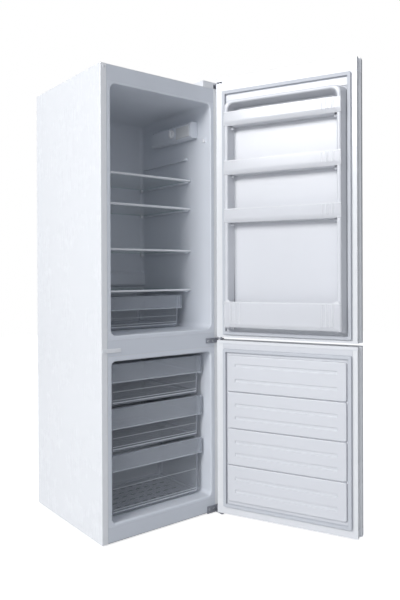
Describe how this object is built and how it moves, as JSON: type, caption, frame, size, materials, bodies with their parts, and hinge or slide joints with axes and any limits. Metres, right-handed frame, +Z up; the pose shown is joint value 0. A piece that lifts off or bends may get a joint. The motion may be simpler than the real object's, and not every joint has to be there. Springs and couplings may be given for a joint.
{
  "type": "bottom freezer refrigerator",
  "caption": "Tall upright fridge-freezer, freezer below, with right-hung doors standing open on glass shelves, pull-out drawers and door balconies.",
  "frame": {"origin": "on the floor, at the middle of the whole object's footprint box with both doors at rest, standing open", "axes": "+Z up; the cabinet's front faces -Y; +X to the right as seen from the front, where the doors are hung"},
  "size_m": [0.7882, 1.0326, 1.7],
  "materials": {
    "white_enamel": "gloss white enamel",
    "coated_sheet": "grey coated sheet",
    "liner_plastic": "vacuum-formed white liner",
    "white_moulding": "white moulding",
    "front_rail_paint": "pale grey painted rail",
    "insulation": null,
    "seal": "soft white magnetic seal",
    "shelf_glass": "clear shelf glass",
    "clear_plastic": "clear smoky plastic",
    "balcony_plastic": "milky translucent plastic",
    "hinge_steel": "zinc-plated hinge steel",
    "black_paint": "black paint",
    "dark_moulding": "dark grey moulding",
    "copper": "copper",
    "lamp_glass": "frosted lamp glass",
    "lens_plastic": "frosted clear lens"
  },
  "bodies": {
    "cabinet": {"side_panel_left": "white_enamel", "side_panel_right": "white_enamel", "top_panel": "white_enamel", "back_panel": "coated_sheet", "base_tray": "coated_sheet", "fridge_liner": "liner_plastic", "freezer_liner": "liner_plastic", "cabinet_foam": "insulation", "front_rail_top": "front_rail_paint", "front_rail_middle": "front_rail_paint", "front_rail_bottom": "front_rail_paint", "plug_top_left": "white_moulding", "plug_middle_left": "white_moulding", "hinge_top": "hinge_steel", "hinge_cover": "white_moulding", "hinge_middle": "hinge_steel", "hinge_bottom": "hinge_steel", "control_housing": "liner_plastic", "lamp_lens": "lens_plastic", "lamp_bulb": "lamp_glass", "compressor": "black_paint", "drip_tray": "dark_moulding", "filter_drier": "copper", "condenser": "black_paint", "mains_inlet": "dark_moulding"},
    "fridge_door": {"fridge_door_skin": "white_enamel", "fridge_door_cap_top": "white_moulding", "fridge_door_cap_bottom": "white_moulding", "fridge_door_liner": "liner_plastic", "fridge_door_foam": "insulation", "fridge_door_gasket": "seal"},
    "freezer_door": {"freezer_door_skin": "white_enamel", "freezer_door_cap_top": "white_moulding", "freezer_door_cap_bottom": "white_moulding", "freezer_door_liner": "liner_plastic", "freezer_door_foam": "insulation", "freezer_door_gasket": "seal"},
    "balcony_1": {"balcony_1": "balcony_plastic"},
    "balcony_2": {"balcony_2": "balcony_plastic"},
    "balcony_3": {"balcony_3": "balcony_plastic"},
    "bottle_rack": {"bottle_rack": "balcony_plastic"},
    "shelf_1": {"shelf_glass_1": "shelf_glass", "shelf_trim_1": "white_moulding"},
    "shelf_2": {"shelf_glass_2": "shelf_glass", "shelf_trim_2": "white_moulding"},
    "shelf_3": {"shelf_glass_3": "shelf_glass", "shelf_trim_3": "white_moulding"},
    "shelf_4": {"shelf_glass_4": "shelf_glass", "shelf_trim_4": "white_moulding"},
    "crisper": {"crisper": "clear_plastic"},
    "freezer_drawer_1": {"freezer_drawer_1": "clear_plastic"},
    "freezer_drawer_2": {"freezer_drawer_2": "clear_plastic"},
    "freezer_drawer_3": {"freezer_drawer_3": "clear_plastic"},
    "thermostat_knob": {"thermostat_knob": "white_moulding"},
    "door_switch_button": {"door_switch_button": "white_moulding"},
    "foot_left": {"foot_left": "dark_moulding"},
    "foot_right": {"foot_right": "dark_moulding"},
    "roller_left": {"roller_left": "dark_moulding"},
    "roller_right": {"roller_right": "dark_moulding"}
  },
  "joints": [
    {"name": "fridge_door_hinge", "type": "hinge", "parent": "cabinet", "child": "fridge_door", "pos_m": [0.13415, -0.03841, 1.19], "axis": [0, 0, 1], "range_deg": [-115, 15]},
    {"name": "freezer_door_hinge", "type": "hinge", "parent": "cabinet", "child": "freezer_door", "pos_m": [0.13415, -0.03841, 0.35], "axis": [0, 0, 1], "range_deg": [-115, 15]},
    {"name": "balcony_1_lift", "type": "slide", "parent": "fridge_door", "child": "balcony_1", "axis": [0, 0, 1], "range_m": [0, 0.02]},
    {"name": "balcony_2_lift", "type": "slide", "parent": "fridge_door", "child": "balcony_2", "axis": [0, 0, 1], "range_m": [0, 0.03]},
    {"name": "balcony_3_lift", "type": "slide", "parent": "fridge_door", "child": "balcony_3", "axis": [0, 0, 1], "range_m": [0, 0.03]},
    {"name": "bottle_rack_lift", "type": "slide", "parent": "fridge_door", "child": "bottle_rack", "axis": [0, 0, 1], "range_m": [0, 0.04]},
    {"name": "shelf_1_slide", "type": "slide", "parent": "cabinet", "child": "shelf_1", "axis": [0, -1, 0], "range_m": [0, 0.18]},
    {"name": "shelf_2_slide", "type": "slide", "parent": "cabinet", "child": "shelf_2", "axis": [0, -1, 0], "range_m": [0, 0.18]},
    {"name": "shelf_3_slide", "type": "slide", "parent": "cabinet", "child": "shelf_3", "axis": [0, -1, 0], "range_m": [0, 0.18]},
    {"name": "shelf_4_slide", "type": "slide", "parent": "cabinet", "child": "shelf_4", "axis": [0, -1, 0], "range_m": [0, 0.18]},
    {"name": "crisper_slide", "type": "slide", "parent": "cabinet", "child": "crisper", "axis": [0, -1, 0], "range_m": [0, 0.25]},
    {"name": "freezer_drawer_1_slide", "type": "slide", "parent": "cabinet", "child": "freezer_drawer_1", "axis": [0, -1, 0], "range_m": [0, 0.28]},
    {"name": "freezer_drawer_2_slide", "type": "slide", "parent": "cabinet", "child": "freezer_drawer_2", "axis": [0, -1, 0], "range_m": [0, 0.28]},
    {"name": "freezer_drawer_3_slide", "type": "slide", "parent": "cabinet", "child": "freezer_drawer_3", "axis": [0, -1, 0], "range_m": [0, 0.2]},
    {"name": "thermostat_knob_turn", "type": "hinge", "parent": "cabinet", "child": "thermostat_knob", "pos_m": [0.06795, 0.18829, 1.521], "axis": [-1, 0, 0], "range_deg": [0, 300]},
    {"name": "door_switch_press", "type": "slide", "parent": "cabinet", "child": "door_switch_button", "axis": [-1, 0, 0], "range_m": [-0.006, 0], "stiffness_N_per_m": 120, "springref_m": 0.004},
    {"name": "foot_left_screw", "type": "slide", "parent": "cabinet", "child": "foot_left", "axis": [0, 0, -1], "range_m": [0, 0.012]},
    {"name": "foot_right_screw", "type": "slide", "parent": "cabinet", "child": "foot_right", "axis": [0, 0, -1], "range_m": [0, 0.012]},
    {"name": "roller_left_turn", "type": "hinge", "parent": "cabinet", "child": "roller_left", "pos_m": [-0.33905, 0.45829, 0.012], "axis": [1, 0, 0], "continuous": true},
    {"name": "roller_right_turn", "type": "hinge", "parent": "cabinet", "child": "roller_right", "pos_m": [0.09095, 0.45829, 0.012], "axis": [1, 0, 0], "continuous": true}
  ]
}
